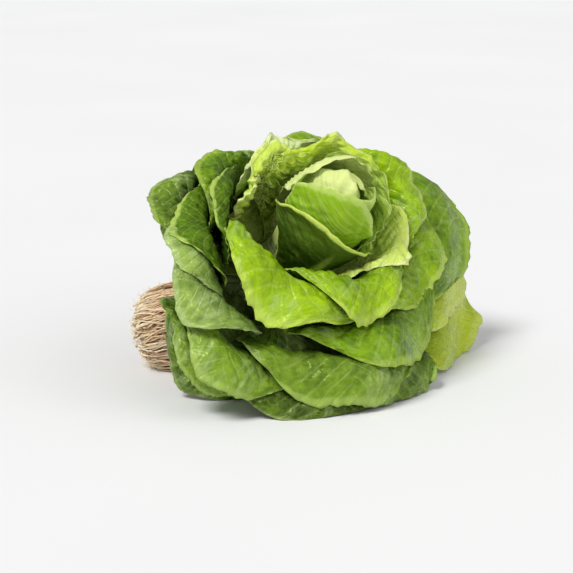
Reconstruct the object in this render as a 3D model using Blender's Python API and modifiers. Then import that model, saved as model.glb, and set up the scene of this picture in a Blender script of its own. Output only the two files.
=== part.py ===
"""A butterhead lettuce picked with its roots, lying on its side as on a table.

Every leaf is a thin solid of its own. The open leaves grow round a short stem, the heart leaves
close over its tip, and the matted roots hang on below it. Lengths are in metres, +Z is up, and the
origin is on the table under the middle of the plant.
"""

import math
import random
from collections import namedtuple

import bmesh
import bpy
from mathutils import Matrix, Vector

MM = 0.001

# How the plant lies: where its stem crosses the head's base plane, and which way the head looks
HEAD_BASE = Vector((-0.04405, 0.02805, 0.065))
HEAD_HEADING = math.radians(-45)
HEAD_RISE = math.radians(38.5)

# The stem, as radius and height in millimetres along the head's axis, from its tip down
STEM_PROFILE = [
    (0, 64), (6, 63), (9.6, 60), (10.0, 50), (10.1, 34), (10.9, 10), (12.3, -14), (12.0, -20), (9, -24), (0, -25),
]
STEM_SIDES = 20

# The matted roots: a plug lying on the table, its neck towards the stem's foot, as radius and
# distance in millimetres along it from the loose end
ROOT_CENTRE = Vector((-41, 6, -35.5)) * MM + HEAD_BASE
ROOT_HEADING = math.radians(162)
ROOT_DROP = math.radians(16)
ROOT_PROFILE = [
    (0, 33), (16, 32.5), (25, 29), (29, 21), (30.5, 8), (30, -6), (27, -18), (20, -28), (13, -34), (0, -37),
]
ROOT_SIDES = 24
ROOT_RIDGE = 1.4 * MM
SOCKET_GAP = 0.3 * MM

# The crown bends from the stem's foot down into the plug: places from the head's base, and radii
CROWN = [((-16, 16.5, -18.5), 13), ((-21, 13.5, -25), 15), ((-30, 10, -31), 18)]

# Thick strands of root, sunk into the plug and loose past its end
STRANDS = 22
STRAND_RADIUS = 1.5 * MM
STRAND_STEPS = 6
STRAND_LOOSE = 7 * MM

# Leaf blades and their midribs
BLADE_THICKNESS = 0.8 * MM
RIB_THICKNESS = 2.4 * MM
PETIOLE_HALF_WIDTH = 6.5 * MM
OPEN_LEAF_GRID = (8, 10)
HEART_LEAF_GRID = (8, 8)

# Meridians of the open leaves: for each layer, from the innermost at 0.4 to the outermost at 1.2,
# radius and height in millimetres at seven stations from the leaf's foot, over its shoulder, to its lip
MERIDIANS = {
    0.40: [(12.0, 32), (28, 42), (40, 60), (46, 80), (50, 98), (63, 103), (78, 101)],
    0.50: [(12.4, 24), (33, 34), (48, 53), (55, 73), (60, 88), (74, 92), (90, 88)],
    0.65: [(12.8, 13), (40, 26), (60, 42), (70, 60), (77, 74), (92, 76), (108, 70)],
    0.80: [(13.4, 1), (44, 15), (70, 29), (85, 46), (94, 58), (109, 59), (124, 51)],
    1.00: [(14.0, -11), (46, 0), (78, 10), (100, 20), (115, 30), (130, 29), (144, 20)],
    1.20: [(14.4, -14), (38, -9), (58, -8), (74, -11), (84, -18), (92, -26), (97, -36)],
}
LAST_STATION = 6

# How far the leaves spread and how high they stand in eight directions round the head, as shares of
# the meridians; the first is towards the table and the third is the head's right
INNER_SPREAD = [1.02, 1.06, 1.13, 0.97, 0.80, 0.84, 1.00, 1.02]
INNER_RISE = [1.03, 1.05, 1.24, 1.16, 1.03, 0.93, 0.96, 1.00]
OUTER_SPREAD = [1.08, 1.18, 1.24, 0.80, 0.58, 0.64, 0.88, 0.99]
OUTER_RISE = [1.60, 1.34, 1.36, 0.95, 0.60, 0.75, 0.95, 1.00]

# The lips are ruffled: how far up or out, and how many waves round the head
RUFFLE = 4 * MM
RUFFLES = 8

# Outline of a leaf, from its foot at 0 to its tip at 1: where it is widest, how wide its tip is as a
# share of that, and how far the tip's corners draw back
WIDEST_AT = 0.62
HEART_TIP_SHARE = 0.85
OPEN_TIP_ROUND = 0.20
HEART_TIP_ROUND = 0.07
TIP_WAVE = 0.018

# The heart: nested shells about a centre on the axis
HEART_CENTRE = 92 * MM
HEART_INNER_RADIUS = 18 * MM
HEART_INNER_HEIGHT = 32 * MM
HEART_DEEPER = 10 * MM
HEART_FOOT_RADIUS = 12.6 * MM
HEART_LAYER_GAP = 2.55 * MM
HEART_HALF_WIDTH = math.radians(72)

# The table presses softly on what would sink into it
PRESS_DEPTH = 4 * MM

# Red, green, blue and roughness
LEAF_COLOURS = {
    "heart": (0.52, 0.68, 0.22, 0.45),
    "inner": (0.33, 0.56, 0.07, 0.45),
    "middle": (0.20, 0.43, 0.05, 0.48),
    "outer": (0.13, 0.33, 0.05, 0.50),
}
STEM_COLOUR = (0.62, 0.70, 0.40, 0.50)
ROOT_COLOUR = (0.62, 0.45, 0.28, 0.85)

OpenLeaf = namedtuple("OpenLeaf", "name azimuth layer half_width reach tip wave curl")
HeartLeaf = namedtuple("HeartLeaf", "name azimuth layer half_width wave past_axis flare lean")

# Azimuth in degrees round the head's axis, 0 towards the table; layer as in MERIDIANS; half width
# in millimetres; reach in stations; tip as its width's share of the leaf's; wave and curl in layers
OPEN_LEAVES = [
    OpenLeaf("inner_leaf_01", 34, 0.375, 40, 5.0, 0.74, 0.006, 0.02),
    OpenLeaf("inner_leaf_02", -4, 0.418, 52, 5.8, 0.74, 0.006, 0.06),
    OpenLeaf("inner_leaf_03", 150, 0.400, 50, 4.7, 0.80, 0.006, 0.03),
    OpenLeaf("inner_leaf_04", 92, 0.470, 46, 5.4, 0.74, 0.006, 0.04),
    OpenLeaf("inner_leaf_05", -165, 0.460, 46, 4.8, 0.70, 0.012, 0.03),
    OpenLeaf("inner_leaf_06", -53, 0.500, 60, 6.1, 0.74, 0.006, 0.07),
    OpenLeaf("inner_leaf_07", -120, 0.592, 44, 5.2, 0.70, 0.008, 0.02),
    OpenLeaf("inner_leaf_08", 50, 0.560, 62, 5.6, 0.74, 0.006, 0.05),
    OpenLeaf("inner_leaf_09", 180, 0.525, 44, 5.35, 0.22, 0.006, 0.01),
    OpenLeaf("middle_leaf_01", -138, 0.640, 48, 5.5, 0.80, 0.008, 0.035),
    OpenLeaf("middle_leaf_02", 112, 0.620, 48, 4.8, 0.70, 0.006, 0.03),
    OpenLeaf("middle_leaf_03", -105, 0.696, 44, 6.0, 0.70, 0.006, 0.01),
    OpenLeaf("middle_leaf_04", 18, 0.650, 76, 5.9, 0.76, 0.006, 0.06),
    OpenLeaf("middle_leaf_05", 76, 0.735, 57, 6.95, 0.50, 0.008, 0.03),
    OpenLeaf("middle_leaf_06", -96, 0.736, 40, 6.1, 0.66, 0.006, 0.01),
    OpenLeaf("middle_leaf_07", -158, 0.740, 46, 4.9, 0.80, 0.008, 0.03),
    OpenLeaf("middle_leaf_08", -78, 0.766, 46, 6.1, 0.72, 0.006, 0.01),
    OpenLeaf("middle_leaf_09", 140, 0.770, 50, 4.8, 0.76, 0.006, 0.03),
    OpenLeaf("outer_leaf_01", -14, 0.800, 64, 6.0, 0.76, 0.006, 0.05),
    OpenLeaf("outer_leaf_02", 64, 0.820, 50, 6.5, 0.55, 0.008, 0.04),
    OpenLeaf("outer_leaf_03", -127, 0.830, 50, 5.8, 0.70, 0.008, 0.03),
    OpenLeaf("outer_leaf_04", 6, 0.870, 51, 6.1, 0.74, 0.006, 0.04),
    OpenLeaf("outer_leaf_05", 178, 0.870, 46, 4.7, 0.76, 0.006, 0.03),
    OpenLeaf("outer_leaf_06", -55, 0.880, 52, 5.8, 0.72, 0.006, 0.04),
    OpenLeaf("outer_leaf_07", 106, 0.900, 50, 4.7, 0.74, 0.006, 0.03),
    OpenLeaf("outer_leaf_08", 59, 0.955, 52, 7.25, 0.48, 0.006, 0.03),
    OpenLeaf("outer_leaf_09", -13, 0.945, 64, 6.0, 0.78, 0.006, 0.03),
    OpenLeaf("outer_leaf_10", -145, 0.940, 44, 4.7, 0.74, 0.006, 0.03),
    OpenLeaf("outer_leaf_11", -60, 1.000, 46, 5.4, 0.70, 0.006, 0.03),
    OpenLeaf("outer_leaf_12", -47, 1.140, 54, 5.8, 0.76, 0.006, 0.02),
]
HEART_LEAVES = [
    HeartLeaf("heart_leaf_01", 10, 0, 0.80, 0.4, 18, 0, 0),
    HeartLeaf("heart_leaf_02", 150, 1, 0.85, 0.3, 8, 0, 0),
    HeartLeaf("heart_leaf_03", -80, 2, 0.90, 0.3, -2, 0.5, 0),
    HeartLeaf("heart_leaf_04", 20, 3, 0.95, 0.4, -12, 1, 0),
    HeartLeaf("heart_leaf_05", 160, 4, 1.00, 0.4, -16, 1, 0),
    HeartLeaf("heart_leaf_06", -40, 5, 0.98, 0.4, -20, 2, 10),
    HeartLeaf("heart_leaf_07", 85, 6, 1.00, 0.4, -34, 3, 0),
    HeartLeaf("heart_leaf_08", -24, 7, 1.25, 0.4, -58, 4, 26),
]


def smooth(low, high, x):
    """0 below low, 1 above high, and a smooth step between them."""
    t = min(1.0, max(0.0, (x - low) / (high - low)))
    return t * t * (3 - 2 * t)


def head_matrix():
    """The head's own frame: +Z along its axis, +X down towards the table, in world space."""
    axis = Vector((
        math.cos(HEAD_RISE) * math.cos(HEAD_HEADING),
        math.cos(HEAD_RISE) * math.sin(HEAD_HEADING),
        math.sin(HEAD_RISE),
    ))
    across = Vector((-math.sin(HEAD_HEADING), math.cos(HEAD_HEADING), 0))
    down = across.cross(axis)
    turn = Matrix((down, across, axis)).transposed()
    return Matrix.Translation(HEAD_BASE) @ turn.to_4x4()


HEAD = head_matrix()


def on_table(point):
    """A point of the head in world space, pressed softly on to the table where it would sink in."""
    place = HEAD @ point
    low = place.z - BLADE_THICKNESS / 2 - PRESS_DEPTH
    if low < 0:
        place.z = BLADE_THICKNESS / 2 + PRESS_DEPTH * math.exp(low / PRESS_DEPTH)
    return place


def between(points, t):
    """The point at t on a smooth curve through points, which lie at t = 0, 1, 2 and so on."""
    last = len(points) - 1
    i = min(last - 1, max(0, math.floor(t)))
    f = t - i
    ahead = points[i + 2] if i + 2 <= last else 2 * points[last] - points[last - 1]
    behind = points[i - 1] if i > 0 else 2 * points[0] - points[1]
    start, end = points[i], points[i + 1]
    return start + 0.5 * f * (end - behind + f * (
        2 * behind - 5 * start + 4 * end - ahead + f * (3 * (start - end) + ahead - behind)))


LAYERS = sorted(MERIDIANS)
CURVES = [[Vector(p) * MM for p in MERIDIANS[k]] for k in LAYERS]


def round_head(shares, azimuth):
    """One of the eight-way lists at any azimuth, smoothly between its directions."""
    t = (azimuth / math.tau) % 1 * len(shares)
    i = int(t)
    return shares[i] + (shares[(i + 1) % len(shares)] - shares[i]) * smooth(0, 1, t - i)


def meridian(layer, station):
    """Radius and height of a layer at a station, between the meridians drawn for it."""
    i = sum(layer > k for k in LAYERS[1:-1])
    f = (layer - LAYERS[i]) / (LAYERS[i + 1] - LAYERS[i])
    return between(CURVES[i], station).lerp(between(CURVES[i + 1], station), f)


def head_point(layer, station, azimuth):
    """A place in the head, with its spread and rise at that azimuth, in the head's own frame."""
    flat = meridian(layer, station)
    foot = meridian(layer, 0)
    out = smooth(LAYERS[0], LAYERS[-1], layer)
    spread = round_head(INNER_SPREAD, azimuth) * (1 - out) + round_head(OUTER_SPREAD, azimuth) * out
    rise = round_head(INNER_RISE, azimuth) * (1 - out) + round_head(OUTER_RISE, azimuth) * out
    lip = RUFFLE * smooth(2, LAST_STATION, station)
    radius = foot.x + (flat.x - foot.x) * spread + lip * math.sin((RUFFLES - 3) * azimuth - 7 * layer)
    height = foot.y + (flat.y - foot.y) * rise + lip * math.sin(RUFFLES * azimuth + 11 * layer)
    return Vector((radius * math.cos(azimuth), radius * math.sin(azimuth), height))


def outline(u, v, phase, tip_round, tip_share):
    """How far along a leaf a point of its blade is, and how wide the leaf is there."""
    past = max(0.0, (v - WIDEST_AT) / (1 - WIDEST_AT))
    along = v - v ** 3 * (tip_round * u * u + TIP_WAVE * (1 + math.sin(6 * u + phase)))
    return along, smooth(0, WIDEST_AT, v) * (1 - (1 - tip_share) * past ** 2)


def open_leaf_point(leaf, phase, u, v):
    """Where an open leaf's blade is, u from -1 to 1 across it and v from 0 at its foot to 1 at its tip."""
    along, share = outline(u, v, phase, OPEN_TIP_ROUND, leaf.tip)
    across = u * (PETIOLE_HALF_WIDTH + share * (leaf.half_width * MM - PETIOLE_HALF_WIDTH))
    rim = (1 - (1 - u ** 4) * (1 - v ** 8)) * smooth(0.25, 0.6, v)
    layer = leaf.layer + leaf.curl * rim + leaf.wave * rim * math.sin(5 * u + 4 * v + phase)
    station = leaf.reach * along
    azimuth = math.radians(leaf.azimuth) + across / meridian(layer, station).x
    return on_table(head_point(layer, station, azimuth))


def heart_leaf_point(leaf, phase, u, v):
    """Where a heart leaf's blade is: on a shell that closes over the head's axis."""
    grow = leaf.layer * HEART_LAYER_GAP
    foot = math.pi - math.asin(HEART_FOOT_RADIUS / (HEART_INNER_HEIGHT + HEART_DEEPER + grow))
    tip = -math.radians(leaf.past_axis)
    along, share = outline(u, v, phase, HEART_TIP_ROUND, HEART_TIP_SHARE)
    polar = foot + (tip + math.radians(leaf.lean) * u - foot) * along
    narrow = math.radians(10)
    side = u * (narrow + share * (HEART_HALF_WIDTH * leaf.half_width - narrow))
    azimuth = math.radians(leaf.azimuth)
    outward = Vector((math.cos(azimuth), math.sin(azimuth), 0))
    sideways = Vector((-math.sin(azimuth), math.cos(azimuth), 0))
    way = (math.cos(side) * (math.sin(polar) * outward + math.cos(polar) * Vector((0, 0, 1)))
           + math.sin(side) * sideways)
    wide = HEART_INNER_RADIUS + grow
    tall = HEART_INNER_HEIGHT + grow + (HEART_DEEPER if way.z < 0 else 0)
    reach = 1 / math.sqrt((way.xy.length / wide) ** 2 + (way.z / tall) ** 2)
    rim = max(u * u, v * v * v)
    reach += MM * (leaf.wave * rim * math.sin(6 * u + 5 * v + phase) + leaf.flare * smooth(0.8, 1, v))
    return on_table(Vector((0, 0, HEART_CENTRE)) + reach * way)


def surface(name, red, green, blue, roughness):
    """A plain surface of one colour, never metallic."""
    material = bpy.data.materials.new(name)
    material.use_nodes = True
    shader = material.node_tree.nodes["Principled BSDF"]
    shader.inputs["Base Color"].default_value = (red, green, blue, 1)
    shader.inputs["Roughness"].default_value = roughness
    shader.inputs["Metallic"].default_value = 0
    return material


def blade(leaf, place, grid, seed, colour):
    """One leaf: a grid laid on its formula, then thickened, with its midrib thickest at the foot."""
    phase = random.Random(seed).uniform(0, math.tau)
    bm = bmesh.new()
    bmesh.ops.create_grid(bm, x_segments=grid[0], y_segments=grid[1], size=1)
    bmesh.ops.triangulate(bm, faces=bm.faces[:])
    ribs = []
    for vert in bm.verts:
        u, v = vert.co.x, (vert.co.y + 1) / 2
        vert.co = place(leaf, phase, u, v)
        ribs.append((u, v))
    mesh = bpy.data.meshes.new(leaf.name)
    bm.to_mesh(mesh)
    bm.free()
    obj = bpy.data.objects.new(leaf.name, mesh)
    thick = obj.vertex_groups.new(name="midrib")
    for i, (u, v) in enumerate(ribs):
        thick.add([i], (1 - v) * max(0.0, 1 - abs(u) * (1 + 3 * v)), "REPLACE")
    solid = obj.modifiers.new("Thickness", "SOLIDIFY")
    solid.thickness = RIB_THICKNESS
    solid.offset = 0
    solid.vertex_group = thick.name
    solid.thickness_vertex_group = BLADE_THICKNESS / RIB_THICKNESS
    obj.data.materials.append(surface(leaf.name, *colour))
    return obj


def turned(name, profile, sides):
    """A closed solid of revolution about Z from (radius, height) pairs in millimetres, tip first."""
    mesh = bpy.data.meshes.new(name)
    points = [(radius * MM, 0, height * MM) for radius, height in profile]
    mesh.from_pydata(points, [(i, i + 1) for i in range(len(points) - 1)], [])
    obj = bpy.data.objects.new(name, mesh)
    screw = obj.modifiers.new("Turn", "SCREW")
    screw.steps = screw.render_steps = sides
    screw.use_merge_vertices = True
    screw.merge_threshold = 0.00001
    screw.use_smooth_shade = True
    return obj


def baked(objects):
    """The mesh that the last object's modifiers give; the objects themselves are removed."""
    for obj in objects:
        bpy.context.scene.collection.objects.link(obj)
    solid = objects[-1].evaluated_get(bpy.context.evaluated_depsgraph_get())
    mesh = bpy.data.meshes.new_from_object(solid)
    for obj in objects:
        bpy.data.objects.remove(obj)
    return mesh


def stem():
    obj = turned("stem", STEM_PROFILE, STEM_SIDES)
    obj.matrix_world = HEAD
    obj.data.materials.append(surface("stem", *STEM_COLOUR))
    return obj


def root_matrix():
    """The root plug's own frame: +Z from its neck out to the loose ends."""
    axis = Vector((
        math.cos(ROOT_DROP) * math.cos(ROOT_HEADING), math.cos(ROOT_DROP) * math.sin(ROOT_HEADING),
        -math.sin(ROOT_DROP)))
    return Matrix.Translation(ROOT_CENTRE) @ axis.to_track_quat("Z", "Y").to_matrix().to_4x4()


def root_radius(height):
    """The plug's radius at a distance along it, all in metres."""
    for (r0, h0), (r1, h1) in zip(ROOT_PROFILE, ROOT_PROFILE[1:]):
        if h1 * MM <= height <= h0 * MM:
            return MM * (r1 + (r0 - r1) * (height / MM - h1) / (h0 - h1))
    return 0.0


def plug():
    """The plug of matted roots, ridged lengthwise."""
    mesh = baked([turned("roots", ROOT_PROFILE, ROOT_SIDES)])
    rand = random.Random(7)
    ridges = [rand.uniform(-1, 1) for _ in range(ROOT_SIDES)]
    for vert in mesh.vertices:
        out = vert.co.xy.length
        if out > 5 * MM:
            side = round(math.atan2(vert.co.y, vert.co.x) / math.tau * ROOT_SIDES) % ROOT_SIDES
            vert.co.xy *= 1 + ROOT_RIDGE * (ridges[side] + 0.6 * rand.uniform(-1, 1)) / out
    mesh.name = "roots"
    return bpy.data.objects.new("roots", mesh)


def tube(name, points, resolution):
    """A tapered tube with closed ends through (place, radius) pairs in metres."""
    curve = bpy.data.curves.new(name, "CURVE")
    curve.dimensions = "3D"
    curve.bevel_depth = 1
    curve.bevel_resolution = resolution
    curve.use_fill_caps = True
    line = curve.splines.new("POLY")
    line.points.add(len(points) - 1)
    for point, (place, radius) in zip(line.points, points):
        point.co = (*place, 1)
        point.radius = radius
    return bpy.data.objects.new(name, baked([bpy.data.objects.new(name, curve)]))


def strand(index, rand):
    """One strand of root: it winds along the plug half sunk in it, and its tip is loose."""
    points = []
    turn = math.tau * (index + rand.uniform(-0.3, 0.3)) / STRANDS
    start, end = rand.uniform(-26, -8) * MM, rand.uniform(20, 27) * MM
    for i in range(STRAND_STEPS + 1):
        loose = max(0, i - STRAND_STEPS + 1)
        height = start + (end - start) * min(1, i / (STRAND_STEPS - 1))
        out = root_radius(height) - 0.4 * MM - 3 * MM * (smooth(0.5, 0, i) + loose)
        height += loose * STRAND_LOOSE * rand.uniform(0.7, 1.2)
        turn += rand.uniform(-0.09, 0.09)
        place = Vector((out * math.cos(turn), out * math.sin(turn), height))
        points.append((place, STRAND_RADIUS * (1 - 0.5 * i / STRAND_STEPS)))
    return tube("strand", points, 0)


def crown():
    """The bent neck that joins the plug to the stem's foot, in the plug's own frame."""
    back = root_matrix().inverted()
    points = [(back @ (HEAD_BASE + Vector(place) * MM), radius * MM) for place, radius in CROWN]
    return tube("crown", points, 3)


def roots():
    """The plug with its crown and strands fused on, a socket for the stem, and its lower side flat."""
    rand = random.Random(11)
    pieces = bpy.data.collections.new("pieces")
    bpy.context.scene.collection.children.link(pieces)
    pieces.objects.link(crown())
    for i in range(STRANDS):
        pieces.objects.link(strand(i, rand))
    obj = plug()
    union = obj.modifiers.new("Fuse", "BOOLEAN")
    union.operation = "UNION"
    union.operand_type = "COLLECTION"
    union.collection = pieces
    union.solver = "EXACT"
    mesh = baked([obj])
    for piece in list(pieces.objects):
        bpy.data.objects.remove(piece)
    bpy.data.collections.remove(pieces)
    mesh.transform(root_matrix())
    for vert in mesh.vertices:
        vert.co.z = max(0.0, vert.co.z)
    obj = bpy.data.objects.new("roots", mesh)
    gap = SOCKET_GAP / MM
    room = [(radius + gap * (radius > 0), height + math.copysign(gap, height)) for radius, height in STEM_PROFILE]
    socket = turned("socket", room, STEM_SIDES)
    socket.matrix_world = HEAD
    cut = obj.modifiers.new("Socket", "BOOLEAN")
    cut.operation = "DIFFERENCE"
    cut.object = socket
    cut.solver = "EXACT"
    mesh = baked([socket, obj])
    mesh.name = "roots"
    mesh.materials.clear()
    mesh.materials.append(surface("roots", *ROOT_COLOUR))
    return bpy.data.objects.new("roots", mesh)


def main():
    for obj in list(bpy.data.objects):
        bpy.data.objects.remove(obj)
    plant = bpy.data.collections.new("lettuce")
    bpy.context.scene.collection.children.link(plant)
    for seed, leaf in enumerate(OPEN_LEAVES):
        colour = next(c for start, c in LEAF_COLOURS.items() if leaf.name.startswith(start))
        plant.objects.link(blade(leaf, open_leaf_point, OPEN_LEAF_GRID, seed, colour))
    for seed, leaf in enumerate(HEART_LEAVES):
        plant.objects.link(blade(leaf, heart_leaf_point, HEART_LEAF_GRID, seed, LEAF_COLOURS["heart"]))
    plant.objects.link(stem())
    plant.objects.link(roots())


main()
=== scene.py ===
"""A butterhead lettuce picked with its roots, lying on a pale table in soft studio light."""

import math
import random

import bpy
from mathutils import Matrix, Vector, noise


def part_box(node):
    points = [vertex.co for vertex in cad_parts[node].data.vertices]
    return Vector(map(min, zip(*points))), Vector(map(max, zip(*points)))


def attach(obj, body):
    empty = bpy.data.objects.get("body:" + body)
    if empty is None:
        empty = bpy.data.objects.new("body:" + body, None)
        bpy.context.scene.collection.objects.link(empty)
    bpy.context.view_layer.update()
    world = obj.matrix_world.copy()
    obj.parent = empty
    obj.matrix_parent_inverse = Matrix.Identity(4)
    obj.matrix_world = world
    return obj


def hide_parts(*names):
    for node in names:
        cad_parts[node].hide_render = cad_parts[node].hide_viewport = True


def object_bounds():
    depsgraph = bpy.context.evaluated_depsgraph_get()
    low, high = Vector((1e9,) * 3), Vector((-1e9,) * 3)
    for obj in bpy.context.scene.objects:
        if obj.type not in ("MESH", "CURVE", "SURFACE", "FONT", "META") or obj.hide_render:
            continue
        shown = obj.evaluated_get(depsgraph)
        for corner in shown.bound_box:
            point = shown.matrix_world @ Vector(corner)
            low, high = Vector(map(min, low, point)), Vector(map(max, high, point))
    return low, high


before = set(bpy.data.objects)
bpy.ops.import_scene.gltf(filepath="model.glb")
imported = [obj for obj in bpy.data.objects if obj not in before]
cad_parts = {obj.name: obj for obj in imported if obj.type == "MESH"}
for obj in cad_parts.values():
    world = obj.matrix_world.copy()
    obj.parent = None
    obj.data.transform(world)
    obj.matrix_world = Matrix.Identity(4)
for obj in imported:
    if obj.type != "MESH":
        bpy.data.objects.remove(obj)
cad_box = [list(corner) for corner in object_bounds()]

# The stem ------------------------------------------------------------------------------------------
# A short, thick stump of pale flesh that every leaf grows from, inside the head but for its foot. Its
# skin is ringed with the scars of pulled leaves, and tans where it has dried. The solid stays as it is.


class Shade:
    """An output socket of a material's nodes. Arithmetic on it adds Math nodes; node() adds any other."""

    def __init__(self, socket):
        self.socket = socket

    def node(self, kind, settings=(), sockets=(), output=0):
        """A node's output: the node's type, its settings, and the values or links of its sockets."""
        made = self.socket.id_data.nodes.new("ShaderNode" + kind)
        for name, value in dict(settings).items():
            setattr(made, name, value)
        for name, value in dict(sockets).items():
            feed(made.inputs[name], value)
        return Shade(made.outputs[output])

    def math(self, operation, *values):
        return self.node("Math", {"operation": operation}, enumerate(values))

    def __add__(self, other):
        return self.math("ADD", self, other)

    def __sub__(self, other):
        return self.math("SUBTRACT", self, other)

    def __mul__(self, other):
        return self.math("MULTIPLY", self, other)

    def __truediv__(self, other):
        return self.math("DIVIDE", self, other)

    def __pow__(self, other):
        return self.math("POWER", self, other)

    def __rsub__(self, other):
        return self.math("SUBTRACT", other, self)

    def __rtruediv__(self, other):
        return self.math("DIVIDE", other, self)

    def __abs__(self):
        return self.math("ABSOLUTE", self)

    __radd__, __rmul__ = __add__, __mul__

    def stored(self, name):
        """The three parts of a value that the mesh's vertices carry."""
        return self.node("Attribute", {"attribute_name": name}, output="Vector").split()

    def join(self, x, y, z):
        """A vector of three parts."""
        return self.node("CombineXYZ", (), {"X": x, "Y": y, "Z": z})

    def dot(self, direction):
        """How far this place lies along a direction."""
        return self.node("VectorMath", {"operation": "DOT_PRODUCT"}, {0: self, 1: direction}, "Value")

    def split(self):
        """The three parts of a vector."""
        first = self.node("SeparateXYZ", (), {"Vector": self})
        return [Shade(out) for out in first.socket.node.outputs]

    def step(self, low, high):
        """0 where this is below low, 1 above high, and a smooth step between; low may be the higher."""
        return self.node("MapRange", {"interpolation_type": "SMOOTHSTEP"},
                         {"Value": self, "From Min": low, "From Max": high})

    def mix(self, first, second):
        """The first colour where this is 0 and the second where it is 1."""
        return self.node("Mix", {"data_type": "RGBA", "clamp_factor": True},
                         {0: self, 6: first, 7: second}, 2)

    def noise(self, place, scale, detail):
        """Soft random spots, 0 to 1, as many to a unit of place as the scale says."""
        return self.node("TexNoise", (), {"Vector": place, "Scale": scale, "Detail": detail})

    def bump(self, distance):
        """The normal of a surface with this as its height, times distance in metres."""
        return self.node("Bump", (), {"Height": self, "Distance": distance})


def feed(socket, value):
    """Links a Shade to a socket, or sets its value; a colour may leave out its alpha."""
    if isinstance(value, Shade):
        socket.id_data.links.new(value.socket, socket)
    elif socket.type == "RGBA" and len(value) == 3:
        socket.default_value = (*value, 1)
    else:
        socket.default_value = value


def skin(name):
    """A new material, and a Shade to grow its nodes from."""
    material = bpy.data.materials.new(name)
    material.use_nodes = True
    return material, Shade(material.node_tree.nodes["Principled BSDF"].outputs["BSDF"])


def finish(material, **sockets):
    """Links or sets sockets of a material's Principled shader, their names with _ for a space."""
    shader = material.node_tree.nodes["Principled BSDF"]
    for socket, value in sockets.items():
        feed(shader.inputs[socket.replace("_", " ")], value)


MM = 0.001
HEAD_BASE = Vector((-0.04405, 0.02805, 0.065))
HEAD_HEADING, HEAD_RISE = math.radians(-45), math.radians(38.5)
HEAD_AXIS = Vector((math.cos(HEAD_RISE) * math.cos(HEAD_HEADING),
                    math.cos(HEAD_RISE) * math.sin(HEAD_HEADING), math.sin(HEAD_RISE)))
STEM_FLESH, STEM_SCAR, STEM_TAN = (0.60, 0.66, 0.36), (0.40, 0.42, 0.17), (0.42, 0.30, 0.14)
STEM_RING, STEM_RING_WANDER, STEM_RING_EDGE = 4.5 * MM, 2 * MM, 6
STEM_MOTTLE, STEM_RELIEF = 180, 0.4 * MM

stem_skin, start = skin("stem_flesh")
where = start.node("TexCoord", output="Object")
mottle = start.noise(where, STEM_MOTTLE, 3)
ring = start.math("SINE", (where.dot(HEAD_AXIS) + mottle * STEM_RING_WANDER) * (math.tau / STEM_RING))
ring = (ring * 0.5 + 0.5) ** STEM_RING_EDGE
finish(stem_skin,
       Base_Color=mottle.step(0.52, 0.75).mix(ring.mix(STEM_FLESH, STEM_SCAR), STEM_TAN),
       Roughness=mottle * 0.3 + 0.35,
       Normal=(mottle * 0.4 - ring).bump(STEM_RELIEF),
       Subsurface_Weight=0.2, Subsurface_Radius=(1.0, 1.0, 0.5), Subsurface_Scale=MM)
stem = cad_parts["stem"]
stem.data.materials.clear()
stem.data.materials.append(stem_skin)

# The roots -----------------------------------------------------------------------------------------
# A plug of matted roots, bent over from the stem's foot by a thick crown: pinkish-tan strands wind
# along it over a dense felt, painted dark as the shade between them, and thin pale hairs stand off its
# loose end. It all grew as one.


def smooth(low, high, x):
    """0 below low, 1 above high, and a smooth step between them."""
    t = min(1.0, max(0.0, (x - low) / (high - low)))
    return t * t * (3 - 2 * t)


def between(points, t):
    """The point at t on a smooth curve through points, which lie at t = 0, 1, 2 and so on."""
    last = len(points) - 1
    i = min(last - 1, max(0, math.floor(t)))
    f = t - i
    ahead = points[i + 2] if i + 2 <= last else 2 * points[last] - points[last - 1]
    behind = points[i - 1] if i > 0 else 2 * points[0] - points[1]
    begin, end = points[i], points[i + 1]
    return begin + 0.5 * f * (end - behind + f * (
        2 * behind - 5 * begin + 4 * end - ahead + f * (3 * (begin - end) + ahead - behind)))


def add_piece(name, verts, faces, material, slot, nodes, **values):
    """A smooth piece of the plant with its values at each vertex, standing for these CAD nodes."""
    mesh = bpy.data.meshes.new(name)
    mesh.from_pydata(verts, [], faces)
    mesh.shade_smooth()
    for value, vectors in values.items():
        layer = mesh.attributes.new(value, "FLOAT_VECTOR", "POINT")
        layer.data.foreach_set("vector", [part for vector in vectors for part in vector])
    mesh.materials.append(material)
    piece = bpy.data.objects.new(name, mesh)
    bpy.context.scene.collection.objects.link(piece)
    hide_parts(*nodes)
    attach(piece, "root")


def strands(paths, sides):
    """Verts, faces and fibre values of closed, tapered tubes along (points, radii, tint) paths."""
    verts, faces, fibres = [], [], []
    for points, radii, tint in paths:
        side = (points[1] - points[0]).orthogonal()
        first = len(verts)
        for i, (point, radius) in enumerate(zip(points, radii)):
            run = points[min(i + 1, len(points) - 1)] - points[max(i - 1, 0)]
            side = (side - side.project(run)).normalized()
            across = run.normalized().cross(side)
            for k in range(sides):
                turn = math.tau * k / sides
                verts.append(point + radius * (math.cos(turn) * side + math.sin(turn) * across))
                fibres.append((tint, 0, 0))
        for i in range(len(points) - 1):
            for k in range(sides):
                a, b = first + i * sides + k, first + i * sides + (k + 1) % sides
                faces.append((a, b, b + sides, a + sides))
        faces.append([first + k for k in reversed(range(sides))])
        faces.append([len(verts) - sides + k for k in range(sides)])
    return verts, faces, fibres


ROOT_CENTRE = Vector((-41, 6, -35.5)) * MM + HEAD_BASE
ROOT_HEADING, ROOT_DROP = math.radians(162), math.radians(16)
# Radius and distance from its middle, in millimetres, down the plug
ROOT_PROFILE = [(0, 33), (16, 32.5), (25, 29), (29, 21), (30.5, 8), (30, -6), (27, -18), (20, -28),
                (13, -34), (0, -37)]
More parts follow.
